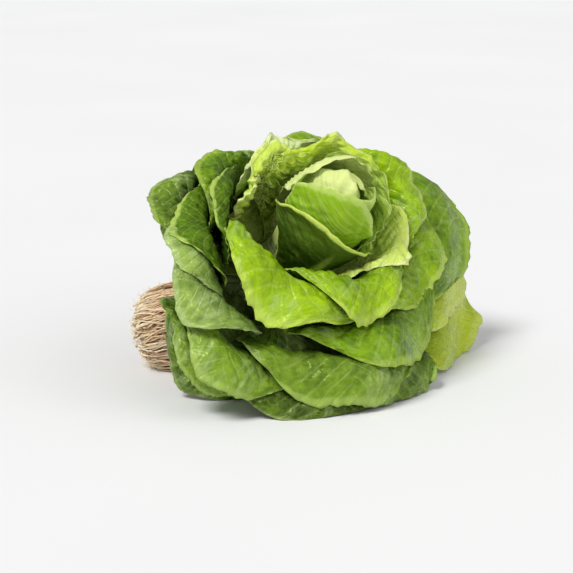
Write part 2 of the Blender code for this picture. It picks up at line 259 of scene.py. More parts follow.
# Place from the head's base and radius, in millimetres, along the crown
CROWN = [((-16, 16.5, -18.5), 13), ((-21, 13.5, -25), 15), ((-30, 10, -31), 18)]
# The core's tint is painted shade: it darkens the felt and crown that show in the gaps between strands
CORE_SIDES, CORE_RINGS, CROWN_RINGS, CORE_SHADE_TINT = 72, 56, 14, 0.1
# How far the felt lies under the strands, and its coarse and fine lumps: height, and number in a metre
CORE_SHRINK, CORE_LUMP, CORE_GRAIN, CROWN_LUMP = 2.4 * MM, (1.6, 160), (0.9, 420), (1.2, 170)
# Ranges are the least and the most; those along the plug are in millimetres from its middle
THICK_STRANDS, STRAND_STEPS, STRAND_RADIUS, STRAND_LOOSE = 22, 6, 1.5 * MM, 7 * MM
STRAND_SUNK, STRAND_TUCK, STRAND_WANDER = 0.4 * MM, 3 * MM, 0.09
THICK_BEGIN, THICK_END, THICK_TINT = (-26, -8), (20, 27), (0.3, 0.9)
FINE_STRANDS, FINE_STEPS, FINE_WANDER = 520, 6, 0.035
FINE_BEGIN, FINE_LENGTH, FINE_LIFT, FINE_RADIUS = (-34, 14), (18, 52), (-1.2, 1.8), (0.25, 0.8)
# Past the plug's shoulder the fine strands draw in, and some end a little past its end
SHOULDER, DRAW_IN, PLUG_END, PAST_END = 27, 0.3, 31, 5
HAIRS, BEARD, HAIR_STEPS, HAIR_CURL = 420, 260, 4, 0.45
HAIR_AT, BEARD_AT, HAIR_STEP, HAIR_RADIUS, HAIR_TINT = (-20, 30), (22, 32), (1.0, 2.9), (0.10, 0.20), (0.6, 1)
ROOT_GRAIN, ROOT_PATCH, ROOT_RELIEF = 900, 140, 0.3 * MM
ROOT_DARK_AND_SHADE, ROOT_TAN = (0.26, 0.12, 0.05), (0.82, 0.62, 0.36)
ROOT_PINK, ROOT_CREAM = (0.86, 0.58, 0.40), (0.98, 0.86, 0.62)

root_axis = Vector((math.cos(ROOT_DROP) * math.cos(ROOT_HEADING),
                    math.cos(ROOT_DROP) * math.sin(ROOT_HEADING), -math.sin(ROOT_DROP)))
ROOTS = Matrix.Translation(ROOT_CENTRE) @ root_axis.to_track_quat("Z", "Y").to_matrix().to_4x4()


def root_radius(height):
    """The plug's radius at a distance along it from its middle, all in metres."""
    for (r0, h0), (r1, h1) in zip(ROOT_PROFILE, ROOT_PROFILE[1:]):
        if h1 * MM <= height <= h0 * MM:
            return MM * (r1 + (r0 - r1) * (height / MM - h1) / (h0 - h1))
    return 0.0


ROOT_LOW, ROOT_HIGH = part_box("roots")


def in_root_box(place, radius):
    """A place kept above the table and inside the plug's own box, with room for a strand's radius."""
    return Vector(min(max(part, a + radius), b - radius) for part, a, b in zip(place, ROOT_LOW, ROOT_HIGH))


def root_core():
    """The felt under the strands, painted dark as the shade in the gaps: the plug a little shrunken and
    lumpy, and the crown to the stem.
    """
    verts, faces = [], []
    profile = [Vector(point) * MM for point in ROOT_PROFILE]
    for ring in range(CORE_RINGS + 1):
        edge = between(profile, ring / CORE_RINGS * (len(profile) - 1))
        for k in range(CORE_SIDES):
            turn = math.tau * k / CORE_SIDES
            way = Vector((math.cos(turn), math.sin(turn), 0))
            place = way * max(0.0, edge.x) + Vector((0, 0, edge.y))
            lump = (noise.noise(place * CORE_LUMP[1]) * CORE_LUMP[0]
                    + noise.noise(place * CORE_GRAIN[1] + Vector((3, 1, 4))) * CORE_GRAIN[0])
            place = place * (1 - CORE_SHRINK / place.length) + place.normalized() * lump * MM
            verts.append(in_root_box(ROOTS @ place, 0))
    for ring in range(CORE_RINGS):
        for k in range(CORE_SIDES):
            a, b = ring * CORE_SIDES + k, ring * CORE_SIDES + (k + 1) % CORE_SIDES
            faces.append((b, a, a + CORE_SIDES, b + CORE_SIDES))
    first = len(verts)
    centres = [HEAD_BASE + Vector(place) * MM for place, _ in CROWN]
    for ring in range(CROWN_RINGS + 1):
        t = ring / CROWN_RINGS * (len(CROWN) - 1)
        centre = between(centres, t)
        run = (between(centres, t + 0.1) - between(centres, t - 0.1)).normalized()
        side = Vector((0, 0, 1)).cross(run).normalized()
        radius = between([Vector((radius, 0)) * MM for _, radius in CROWN], t).x
        for k in range(CORE_SIDES):
            turn = math.tau * k / CORE_SIDES
            way = math.cos(turn) * side + math.sin(turn) * run.cross(side)
            lump = (noise.noise((centre + way * radius) * CROWN_LUMP[1]) - 0.5) * CROWN_LUMP[0]
            verts.append(in_root_box(centre + way * (radius + lump * MM), 0))
    for ring in range(CROWN_RINGS):
        for k in range(CORE_SIDES):
            a, b = first + ring * CORE_SIDES + k, first + ring * CORE_SIDES + (k + 1) % CORE_SIDES
            faces.append((a, b, b + CORE_SIDES, a + CORE_SIDES))
    faces.append([first + k for k in reversed(range(CORE_SIDES))])
    faces.append([first + CROWN_RINGS * CORE_SIDES + k for k in range(CORE_SIDES)])
    return verts, faces, [(CORE_SHADE_TINT, 0, 0)] * len(verts)


def wound(points, radius, tint, steps, taper):
    """A strand's path, smoothed through a few points of the plug's own frame."""
    last = len(points) - 1
    fine = [in_root_box(ROOTS @ between(points, i / steps * last), radius) for i in range(steps + 1)]
    return fine, [radius * (1 - taper * i / steps) for i in range(steps + 1)], tint


def thick_strands():
    """The thick roots that run along the plug, side by side, with loose ends."""
    rand = random.Random(11)
    for index in range(THICK_STRANDS):
        points = []
        turn = math.tau * (index + rand.uniform(-0.3, 0.3)) / THICK_STRANDS
        begin, end = rand.uniform(*THICK_BEGIN) * MM, rand.uniform(*THICK_END) * MM
        for i in range(STRAND_STEPS + 1):
            loose = max(0, i - STRAND_STEPS + 1)
            height = begin + (end - begin) * min(1, i / (STRAND_STEPS - 1))
            out = root_radius(height) - STRAND_SUNK - STRAND_TUCK * (smooth(0.5, 0, i) + loose)
            height += loose * STRAND_LOOSE * rand.uniform(0.7, 1.2)
            turn += rand.uniform(-STRAND_WANDER, STRAND_WANDER)
            points.append(Vector((out * math.cos(turn), out * math.sin(turn), height)))
        yield wound(points, STRAND_RADIUS, rand.uniform(*THICK_TINT), steps=20, taper=0.55)


def fine_strands():
    """Finer roots over and between the thick ones, some of them loose past the plug's end."""
    rand = random.Random(21)
    for _ in range(FINE_STRANDS):
        turn, points = rand.uniform(0, math.tau), []
        begin, length = rand.uniform(*FINE_BEGIN), rand.uniform(*FINE_LENGTH)
        lift, drift = rand.uniform(*FINE_LIFT), rand.gauss(0, FINE_WANDER)
        for i in range(FINE_STEPS + 1):
            height = min(begin + length * i / FINE_STEPS, PLUG_END + rand.uniform(0, PAST_END))
            past = max(0.0, height - SHOULDER)
            out = root_radius(min(height, PLUG_END) * MM) / MM - past * DRAW_IN
            out += lift * math.sin(math.pi * (i + 0.5) / (FINE_STEPS + 1))
            turn += drift + rand.gauss(0, FINE_WANDER)
            points.append(Vector((out * math.cos(turn), out * math.sin(turn), height)) * MM)
        yield wound(points, rand.uniform(*FINE_RADIUS) * MM, rand.random(), steps=14, taper=0.5)


def hairs():
    """Thin pale hairs: over the plug's skin, and as a beard at its loose end."""
    rand = random.Random(31)
    for i in range(HAIRS + BEARD):
        turn = rand.uniform(0, math.tau)
        height = rand.uniform(*(HAIR_AT if i < HAIRS else BEARD_AT))
        out = root_radius(height * MM) / MM * (1 if i < HAIRS else math.sqrt(rand.random()))
        point = Vector((out * math.cos(turn), out * math.sin(turn), height))
        way = Vector((math.cos(turn) * 0.5, math.sin(turn) * 0.5, rand.uniform(0.3, 1.3)))
        points = [point]
        for _ in range(HAIR_STEPS):
            way = (way + Vector(rand.gauss(0, HAIR_CURL) for _ in range(3))).normalized()
            point = point + way * rand.uniform(*HAIR_STEP)
            points.append(point)
        yield wound([p * MM for p in points], rand.uniform(*HAIR_RADIUS) * MM, rand.uniform(*HAIR_TINT),
                    steps=8, taper=0.6)


root_skin, start = skin("root_fibre")
fibre, _, _ = start.stored("fibre")
where = start.node("TexCoord", output="Object")
grain = start.noise(where, ROOT_GRAIN, 3)
patch = start.noise(where, ROOT_PATCH, 2)
# The loose end is palest
pale_end = (where.dot(root_axis) - ROOT_CENTRE.dot(root_axis)).step(2 * MM, 30 * MM)
# The lowest fibre values go dark: painted shade on the core's felt, and their own dark on a few strands
tone = fibre.step(0.0, 0.3).mix(ROOT_DARK_AND_SHADE, fibre.step(0.35, 0.75).mix(ROOT_TAN, ROOT_PINK))
tone = (fibre * 0.8 + patch * 0.5 + pale_end * 0.35).step(0.8, 1.2).mix(tone, ROOT_CREAM)
finish(root_skin,
       Base_Color=(grain.step(0.42, 0.66) * 0.15).mix(tone, ROOT_DARK_AND_SHADE),
       Roughness=grain * 0.3 + 0.6,
       Normal=(grain + patch).bump(ROOT_RELIEF),
       Subsurface_Weight=0.15, Subsurface_Radius=(0.8, 0.5, 0.3), Subsurface_Scale=MM)

for name, (verts, faces, fibres) in {
        "root_core": root_core(),
        "root_strands": strands([*thick_strands(), *fine_strands()], 6),
        "root_hairs": strands(list(hairs()), 4)}.items():
    add_piece(name, verts, faces, root_skin, "roots", ["roots"], fibre=fibres)

# The outer leaves ----------------------------------------------------------------------------------
# The lowest and widest blades, soft and dark green, which grow from the stem's foot and lie back on the
# table. Side veins leave a pale midrib in arcs, the blade swells between them, and the back is greyer.

# Radius and height in millimetres of each layer of leaves, from the innermost to the outermost, at seven
# stations from a leaf's foot to its lip, in the head's own frame
MERIDIANS = {
    0.40: [(12.0, 32), (28, 42), (40, 60), (46, 80), (50, 98), (63, 103), (78, 101)],
    0.50: [(12.4, 24), (33, 34), (48, 53), (55, 73), (60, 88), (74, 92), (90, 88)],
    0.65: [(12.8, 13), (40, 26), (60, 42), (70, 60), (77, 74), (92, 76), (108, 70)],
    0.80: [(13.4, 1), (44, 15), (70, 29), (85, 46), (94, 58), (109, 59), (124, 51)],
    1.00: [(14.0, -11), (46, 0), (78, 10), (100, 20), (115, 30), (130, 29), (144, 20)],
    1.20: [(14.4, -14), (38, -9), (58, -8), (74, -11), (84, -18), (92, -26), (97, -36)],
}
LAST_STATION = 6
# Shares of spread and of rise in eight directions round the head, the first towards the table
INNER_SPREAD = [1.02, 1.06, 1.13, 0.97, 0.80, 0.84, 1.00, 1.02]
INNER_RISE = [1.03, 1.05, 1.24, 1.16, 1.03, 0.93, 0.96, 1.00]
OUTER_SPREAD = [1.08, 1.18, 1.24, 0.80, 0.58, 0.64, 0.88, 0.99]
OUTER_RISE = [1.60, 1.34, 1.36, 0.95, 0.60, 0.75, 0.95, 1.00]
# The lips' waves round the head: their height, and how many there are in spread and in rise
RUFFLE, SPREAD_RUFFLES, RISE_RUFFLES = 4 * MM, 5, 8
WIDEST_AT, OPEN_TIP_ROUND, TIP_WAVE = 0.62, 0.20, 0.018
PETIOLE_HALF_WIDTH = 6.5 * MM
BLADE, MARGIN, RIB, PRESS_DEPTH = 0.8 * MM, 0.35 * MM, 2.4 * MM, 4 * MM
# The side veins: how many, how far they sweep up the blade, and how far and how fast they wander
SIDE_VEINS, VEIN_SWEEP, VEIN_WANDER, WANDER_ACROSS, WANDER_ALONG = 10, 0.5, 0.2, 6, 7

across_head = Vector((-math.sin(HEAD_HEADING), math.cos(HEAD_HEADING), 0))
head_turn = Matrix((across_head.cross(HEAD_AXIS), across_head, HEAD_AXIS)).transposed()
HEAD = Matrix.Translation(HEAD_BASE) @ head_turn.to_4x4()
LAYERS = sorted(MERIDIANS)
CURVES = [[Vector(point) * MM for point in MERIDIANS[layer]] for layer in LAYERS]


def on_table(point):
    """A point of the head in world space, pressed softly on to the table where it would sink in."""
    place = HEAD @ point
    low = place.z - BLADE / 2 - PRESS_DEPTH
    if low < 0:
        place.z = BLADE / 2 + PRESS_DEPTH * math.exp(low / PRESS_DEPTH)
    return place


def round_head(shares, azimuth):
    """One of the eight-way lists at any azimuth, smoothly between its directions."""
    t = (azimuth / math.tau) % 1 * len(shares)
    i = int(t)
    return shares[i] + (shares[(i + 1) % len(shares)] - shares[i]) * smooth(0, 1, t - i)


def meridian(layer, station):
    """Radius and height of a layer at a station, between the meridians drawn for it."""
    i = sum(layer > k for k in LAYERS[1:-1])
    f = (layer - LAYERS[i]) / (LAYERS[i + 1] - LAYERS[i])
    return between(CURVES[i], station).lerp(between(CURVES[i + 1], station), f)


def head_point(layer, station, azimuth):
    """A place in the head, with its spread and rise at that azimuth, in the head's own frame."""
    flat, foot = meridian(layer, station), meridian(layer, 0)
    out = smooth(LAYERS[0], LAYERS[-1], layer)
    spread = round_head(INNER_SPREAD, azimuth) * (1 - out) + round_head(OUTER_SPREAD, azimuth) * out
    rise = round_head(INNER_RISE, azimuth) * (1 - out) + round_head(OUTER_RISE, azimuth) * out
    lip = RUFFLE * smooth(2, LAST_STATION, station)
    radius = foot.x + (flat.x - foot.x) * spread + lip * math.sin(SPREAD_RUFFLES * azimuth - 7 * layer)
    height = foot.y + (flat.y - foot.y) * rise + lip * math.sin(RISE_RUFFLES * azimuth + 11 * layer)
    return Vector((radius * math.cos(azimuth), radius * math.sin(azimuth), height))


def outline(u, v, phase, tip_round, tip_share):
    """How far along a leaf a point of its blade is, and how wide the leaf is there."""
    past = max(0.0, (v - WIDEST_AT) / (1 - WIDEST_AT))
    along = v - v ** 3 * (tip_round * u * u + TIP_WAVE * (1 + math.sin(6 * u + phase)))
    return along, smooth(0, WIDEST_AT, v) * (1 - (1 - tip_share) * past ** 2)


def open_leaf(azimuth, layer, half_width, reach, tip, wave, curl):
    """The blade of an open leaf, as a function of its phase, u across it and v along it."""
    def place(phase, u, v):
        along, share = outline(u, v, phase, OPEN_TIP_ROUND, tip)
        across = u * (PETIOLE_HALF_WIDTH + share * (half_width * MM - PETIOLE_HALF_WIDTH))
        rim = (1 - (1 - u ** 4) * (1 - v ** 8)) * smooth(0.25, 0.6, v)
        level = layer + curl * rim + wave * rim * math.sin(5 * u + 4 * v + phase)
        station = reach * along
        turn = across / meridian(level, station).x
        return on_table(head_point(level, station, math.radians(azimuth) + turn))
    return place


# Millimetres: how high the arches between side veins, the blisters and the slow waves stand, how far apart
# blisters and waves are, and how far the whole blade sits back for them
ARCH, BLISTER, BLISTER_APART, SLOW, SLOW_APART, SET_BACK = 1.3, 1.3, 8, 3.0, 24, 0.8


def swelling(u, v, x, y, phase):
    """How far a blade swells to its inner side, in millimetres: arches between the side veins, blisters
    in them, and slow waves. x and y are millimetres across and along it."""
    arch = (v - VEIN_SWEEP * abs(u)) * SIDE_VEINS + (0.5 if u > 0 else 0)
    arch += VEIN_WANDER * math.sin(WANDER_ACROSS * u + WANDER_ALONG * v + phase)
    arch = math.sin(math.pi * (arch - math.floor(arch)))
    near, far = noise.voronoi(Vector((x / BLISTER_APART, y / BLISTER_APART, phase * 3)))[0][:2]
    blister = smooth(0.0, 0.5, far - near)
    slow = noise.noise(Vector((x / SLOW_APART, y / SLOW_APART, phase * 5)))
    calm = smooth(0.03, 0.25, abs(u)) * smooth(0.05, 0.4, v)
    return calm * (ARCH * arch ** 0.8 + BLISTER * blister + SLOW * slow) - SET_BACK


BOX_LOW, BOX_HIGH = (Vector(corner) for corner in cad_box)
BOX_EASE, TABLE_EASE = 3 * MM, 0.3 * MM


def eased(part, low, high, low_ease):
    """A coordinate pressed softly back between two limits."""
    if part < low + low_ease:
        return low + low_ease * math.exp((part - low) / low_ease - 1)
    if part > high - BOX_EASE:
        return high - BOX_EASE * math.exp((high - part) / BOX_EASE - 1)
    return part


def in_box(point):
    """A point kept above the table and inside the plant's own box."""
    eases = BOX_EASE, BOX_EASE, TABLE_EASE
    return Vector(eased(*limits) for limits in zip(point, BOX_LOW, BOX_HIGH, eases))


# Where the rim begins as a share of the blade, how far it rolls over, and how deep and how often its edge
# is nibbled at the sides and at the lip
RIM_FROM, ROLL = 0.72, 2.5 * MM
SIDE_NIBBLE, LIP_NIBBLE, NIBBLES_ALONG, NIBBLES_ACROSS, NIBBLE_APART = 0.02, 0.03, 9, 5, 3.7
# Millimetres to a radian of the rim's waves, and of their sway, across and along the blade
FRILL_ACROSS, FRILL_SWAY, FRILL_ALONG = 3.1, 7, 4
# The thin midrib's height, as a share of the full one, and the share of both on the inner side
THIN_RIB, RIB_INSIDE = 0.32, 0.25
# Leaves lie this many millimetres apart in the skin's own plane, so that no two have the same marks
PLANE_APART = 300


def grow_leaf(name, place, seed, tone, columns, rows, material, slot, puff=1.0, frill=0.6):
    """A leaf as a thin closed solid: its blade swollen and veined, thin at the rim, thick at the midrib.
    The rim rolls over, and waves by the frill, in millimetres."""
    phase = random.Random(seed).uniform(0, math.tau)
    us = [2 * i / columns - 1 for i in range(columns + 1)]
    vs = [j / rows for j in range(rows + 1)]
    nibble = Vector((seed * NIBBLE_APART, phase, 0))
    bites = [SIDE_NIBBLE * smooth(0.3, 0.6, v) * abs(noise.noise(nibble + Vector((v * NIBBLES_ALONG, 0, 2))))
             for v in vs]
    nicks = [LIP_NIBBLE * abs(noise.noise(nibble + Vector((u * NIBBLES_ACROSS, 0, 0)))) for u in us]
    sheet = [[place(phase, u * (1 - bite), v * (1 - nick * smooth(0.6, 1, v))) for u, nick in zip(us, nicks)]
             for v, bite in zip(vs, bites)]
    # Millimetres across the blade from its midrib, and along it from its foot
    middle = columns // 2
    xs, ys = [[0.0] * (columns + 1) for _ in vs], [[0.0] * (columns + 1)]
    for j, row in enumerate(sheet):
        for i in range(middle, columns):
            xs[j][i + 1] = xs[j][i] + (row[i + 1] - row[i]).length / MM
        for i in range(middle, 0, -1):
            xs[j][i - 1] = xs[j][i] - (row[i - 1] - row[i]).length / MM
        if j:
            ys.append([y + (b - a).length / MM for y, a, b in zip(ys[-1], sheet[j - 1], row)])
    inner, outer, here, flat = [], [], [], []
    for j, v in enumerate(vs):
        for i, u in enumerate(us):
            right, left = sheet[j][min(i + 1, columns)], sheet[j][max(i - 1, 0)]
            up, down = sheet[min(j + 1, rows)][i], sheet[max(j - 1, 0)][i]
            out = (right - left).cross(up - down).normalized()
            x, y = xs[j][i], ys[j][i]
            edge = smooth(RIM_FROM, 1.0, max(abs(u), v)) * smooth(0.3, 0.5, v)
            swell = puff * MM * swelling(u, v, x, y, phase) * (1 - 0.5 * edge)
            wave = math.sin(x / FRILL_ACROSS + 2 * math.sin(x / FRILL_SWAY + phase) + y / FRILL_ALONG)
            swell += frill * MM * edge * wave
            ridge = (1 - v) * max(0.0, 1 - abs(u) * (1 + 3 * v))
            thick = BLADE + (MARGIN - BLADE) * edge
            centre = sheet[j][i] + out * (ROLL * puff * edge * edge - swell)
            thin = THIN_RIB * smooth(1.9, 0.3, abs(x)) * (1 - 0.6 * v)
            rib = max(ridge ** 1.5, thin) * (RIB - BLADE)
            inner.append(centre - out * (thick / 2 + RIB_INSIDE * rib))
            outer.append(centre + out * (thick / 2 + (1 - RIB_INSIDE) * rib))
            here.append((u, v))
            flat.append((x + PLANE_APART * seed, y, tone))
    count, wide = len(inner), columns + 1
    verts = [in_box(point) for point in inner + outer]
    faces = []
    for j in range(rows):
        for i in range(columns):
            a = j * wide + i
            faces.append((a + wide, a + wide + 1, a + 1, a))
            faces.append((a + count, a + count + 1, a + count + wide + 1, a + count + wide))
    # The sheet's edge, once round
    ring = [*range(wide), *(j * wide + columns for j in range(1, rows + 1)),
            *(rows * wide + i for i in reversed(range(columns))),
            *(j * wide for j in reversed(range(1, rows)))]
    for a, b in zip(ring, ring[1:] + ring[:1]):
        faces.append((a, b, b + count, a + count))
    spots = [(u, v, 0) for u, v in here] + [(u, v, 1) for u, v in here]
    add_piece(name + "_blade", verts, faces, material, slot, [name], spot=spots, flat=flat + flat,
              growth=[(phase, seed, 0)] * len(verts))


# The tint of a leaf's shine, and the colour of its lines of painted shine, which stand for highlights
SHEEN, PAINTED_SHINE = (0.88, 1.0, 0.35), (0.44, 0.56, 0.24)
# How many of each to a millimetre of blade, and the relief that they make
NET, CLOUD, MOTTLE, FLECK, SHINE_PATCH, LEAF_RELIEF = 0.2, 0.045, 0.16, 0.7, 0.035, 0.5 * MM


def leaf_skin(name, deep, bright, rib, back, streaks=0.0, margin=0.4, rib_width=5.0, shine_paint=0.6, gloss=0.42):
    """A leaf's skin: deep green in patches, bright at the lip and darker below it as painted light and shade,
    with veins, a thin margin towards the rib's colour that is partly a painted highlight, and a greyer back.
    Streaks are pale veins that lie close together, and a painted shine, standing for highlights, lies in
    lines along the blade in patches."""
    material, start = skin(name)
    u, v, under = start.stored("spot")
    x, y, tone = start.stored("flat")
    phase, seed, _ = start.stored("growth")
    place = start.join(x, y, seed * 7)
    side = abs(u)
    # Side veins run where the arches of the blade meet
    arch = (v - side * VEIN_SWEEP) * SIDE_VEINS + start.math("GREATER_THAN", u, 0) * 0.5
    arch = arch + start.math("SINE", u * WANDER_ACROSS + v * WANDER_ALONG + phase) * VEIN_WANDER
    off_vein = abs(start.math("FRACT", arch) - 0.5)
    side_vein = off_vein.step(0.34, 0.5) * side.step(0.97, 0.4)
    net = start.node("TexVoronoi", {"feature": "DISTANCE_TO_EDGE"}, {"Vector": place, "Scale": NET})
    net = net.step(0.25, 0.0)
    cloud = start.noise(place, CLOUD, 2)
    mottle = start.noise(place, MOTTLE, 3)
    fleck = start.noise(place, FLECK, 3)
    across = abs(x - seed * PLANE_APART)
    midrib = (across / (rib_width - v * (rib_width - 0.6))).step(1.2, 0.2) * v.step(0.85, 0.45)
    edge = start.math("MAXIMUM", side, v) + fleck * 0.02
    # Streaks, and the painted shine that stands for highlights, are noise drawn out along the blade
    streak = start.noise(start.join(x * 0.03, y * 0.4 + x * 0.12, seed * 5), 1, 3)
    streak = streak.step(0.4, 0.7) * streaks
    painted_shine = start.noise(start.join(x * 0.28, y * 0.05, seed * 9), 1, 2).step(0.35, 0.80)
    painted_shine = painted_shine * start.noise(place, SHINE_PATCH, 1).step(0.46, 0.62) * (1 - under) * shine_paint
    # Cloud and mottle are the blade's own uneven green; the lift near the rim and towards the lip is painted
    # light, and the darker blade below it painted shade
    light = cloud * 1.5 + mottle * 1.3 - 1.32 + tone * 0.35
    light = light + edge.step(0.8, 1.0) * 0.15 + v.step(0.4, 0.95) * 0.55
    colour = light.mix(deep, bright)
    colour = (net * 0.07 + side_vein * 0.16 + streak).mix(colour, rib)
    # Pale lines of painted highlight
    colour = painted_shine.mix(colour, PAINTED_SHINE)
    colour = (under * (0.55 + mottle * 0.3)).mix(colour, back)
    # The thin margin is partly the rim's own paler green and partly a painted highlight on the rim
    colour = (edge.step(0.955, 0.985) * margin).mix(colour, rib)
    # A tone over 1 pales the whole blade
    colour = (tone - 1).mix(colour, rib)
    colour = (midrib * (0.3 + under * 0.5)).mix(colour, rib)
    # The foot is pale too, most of all on the back
    colour = (v.step(0.3, 0.04) * (0.2 + under * 0.8)).mix(colour, rib)
    grain = mottle * 2.6 + fleck * 0.25 - net * 0.3 - side_vein * 0.5 + streak * 1.5
    finish(material,
           Base_Color=colour,
           Roughness=fleck * 0.3 + under * 0.2 + 0.15 - painted_shine * 0.12,
           Normal=(grain * (1 - under * 0.5)).bump(LEAF_RELIEF),
           Subsurface_Weight=0.12, Subsurface_Radius=(0.9, 1.2, 0.2), Subsurface_Scale=MM,
           IOR=1.48, Specular_IOR_Level=gloss, Specular_Tint=SHEEN)
    return material


OPEN_COLUMNS, OPEN_ROWS = 60, 78
# Azimuth round the head, layer, half width in millimetres, reach in stations, tip's share of the width,
# wave and curl of the rim in layers, and tone: below 0 darker, above 0 brighter, from 1 to 2 also paler; the
# tones are partly painted light and shade, for how each leaf lies
OUTER_LEAVES = {
    "outer_leaf_01": (-14, 0.800, 64, 6.0, 0.76, 0.006, 0.05, 0.3),
    "outer_leaf_02": (64, 0.820, 50, 6.5, 0.55, 0.008, 0.04, 1.0),
    "outer_leaf_03": (-127, 0.830, 50, 5.8, 0.70, 0.008, 0.03, -0.7),
    "outer_leaf_04": (6, 0.870, 51, 6.1, 0.74, 0.006, 0.04, -0.5),
    "outer_leaf_05": (178, 0.870, 46, 4.7, 0.76, 0.006, 0.03, 0.0),
    "outer_leaf_06": (-55, 0.880, 52, 5.8, 0.72, 0.006, 0.04, 0.6),
    "outer_leaf_07": (106, 0.900, 50, 4.7, 0.74, 0.006, 0.03, 0.3),
    "outer_leaf_08": (59, 0.955, 52, 7.25, 0.48, 0.006, 0.03, 0.6),
    "outer_leaf_09": (-13, 0.945, 64, 6.0, 0.78, 0.006, 0.03, -1.4),
    "outer_leaf_10": (-145, 0.940, 44, 4.7, 0.74, 0.006, 0.03, -0.3),
    "outer_leaf_11": (-60, 1.000, 46, 5.4, 0.70, 0.006, 0.03, 0.2),
    "outer_leaf_12": (-47, 1.140, 54, 5.8, 0.76, 0.006, 0.02, -0.8),
}
# An open leaf's seed is its place in this list, from 0; the heart leaves are counted on their own
ORDER = ([f"inner_leaf_{i:02}" for i in range(1, 10)] + [f"middle_leaf_{i:02}" for i in range(1, 10)]
         + [f"outer_leaf_{i:02}" for i in range(1, 13)])
outer_skin = leaf_skin("outer_leaf_skin", deep=(0.032, 0.08, 0.002), bright=(0.175, 0.30, 0.016),
                       rib=(0.46, 0.60, 0.16), back=(0.19, 0.34, 0.06))
# The two that stick out on the right are yellower and paler, partly their own yellowing and partly
# painted light shining through them, and are almost flat
YELLOW_LIT, YELLOW_LIT_PUFF = ("outer_leaf_02", "outer_leaf_08"), 0.1
yellow_lit_skin = leaf_skin("yellow_lit_leaf_skin", deep=(0.20, 0.31, 0.004), bright=(0.46, 0.57, 0.02),
                        rib=(0.62, 0.68, 0.22), back=(0.36, 0.46, 0.07))
# Two under the head are painted dark, as the shade that they lie in
LOWEST = ("outer_leaf_09", "outer_leaf_12")
under_shade_skin = leaf_skin("under_shade_leaf_skin", deep=(0.02, 0.05, 0.001), bright=(0.11, 0.20, 0.008),
                     rib=(0.40, 0.52, 0.14), back=(0.12, 0.22, 0.04))
for name, (*form, tone) in OUTER_LEAVES.items():
    grow_leaf(name, open_leaf(*form), ORDER.index(name), tone, OPEN_COLUMNS, OPEN_ROWS,
              yellow_lit_skin if name in YELLOW_LIT else under_shade_skin if name in LOWEST else outer_skin,
              "outer_leaf", YELLOW_LIT_PUFF if name in YELLOW_LIT else 1.0)

# The middle leaves ---------------------------------------------------------------------------------
# Mid-green blades that stand up round the head and fold back at the lip, blistered and glossy inside and
# dull grey-green on the back, with a pale rib that runs out halfway up.

# The columns are those of the outer leaves
MIDDLE_LEAVES = {
    "middle_leaf_01": (-138, 0.640, 48, 5.5, 0.80, 0.008, 0.035, -0.9),
    "middle_leaf_02": (112, 0.620, 48, 4.8, 0.70, 0.006, 0.03, 0.2),
    "middle_leaf_03": (-105, 0.696, 44, 6.0, 0.70, 0.006, 0.01, 0.0),
    "middle_leaf_04": (18, 0.650, 76, 5.9, 0.76, 0.006, 0.06, -0.4),
    "middle_leaf_05": (76, 0.735, 57, 6.95, 0.50, 0.008, 0.03, 0.0),
    "middle_leaf_06": (-96, 0.736, 40, 6.1, 0.66, 0.006, 0.01, 0.0),
    "middle_leaf_07": (-158, 0.740, 46, 4.9, 0.80, 0.008, 0.03, -1.2),
    "middle_leaf_08": (-78, 0.766, 46, 6.1, 0.72, 0.006, 0.01, -0.1),
    "middle_leaf_09": (140, 0.770, 50, 4.8, 0.76, 0.006, 0.03, 0.1),
}
middle_skin = leaf_skin("middle_leaf_skin", deep=(0.04, 0.11, 0.0), bright=(0.215, 0.39, 0.001),
                        rib=(0.48, 0.62, 0.12), back=(0.20, 0.36, 0.02), shine_paint=0.4)
shaded_skin = leaf_skin("shaded_leaf_skin", deep=(0.015, 0.045, 0.001), bright=(0.09, 0.19, 0.003),
                        rib=(0.44, 0.58, 0.12), back=(0.06, 0.15, 0.01), margin=0.8, shine_paint=0.0, gloss=0.25)
sheen_painted_skin = leaf_skin("painted_sheen_leaf_skin", deep=(0.05, 0.11, 0.012), bright=(0.27, 0.40, 0.07),
                       rib=(0.50, 0.62, 0.28), back=(0.28, 0.38, 0.14))
# Two that lie in the head's shade are painted darkest, and two on the lit left side are painted greyer and
# paler, as painted sheen
SPECIAL = {"middle_leaf_03": shaded_skin, "middle_leaf_07": shaded_skin, "middle_leaf_06": sheen_painted_skin,
           "middle_leaf_08": sheen_painted_skin}
# Those pressed against a neighbour swell less
PRESSED = {"middle_leaf_03": 0.45, "middle_leaf_05": 0.35, "middle_leaf_06": 0.4, "middle_leaf_08": 0.7}
for name, (*form, tone) in MIDDLE_LEAVES.items():
    grow_leaf(name, open_leaf(*form), ORDER.index(name), tone, OPEN_COLUMNS, OPEN_ROWS,
              SPECIAL.get(name, middle_skin), "middle_leaf", PRESSED.get(name, 1.0))

# The inner leaves ----------------------------------------------------------------------------------
# Bright yellow-green blades round the heart, with thick rolled lips and pale feet. Two at the back have
# frilled rims, one of them torn into curled threads. A pale lobe and a pale point stand by the heart.

INNER_BACK = (0.26, 0.44, 0.01)
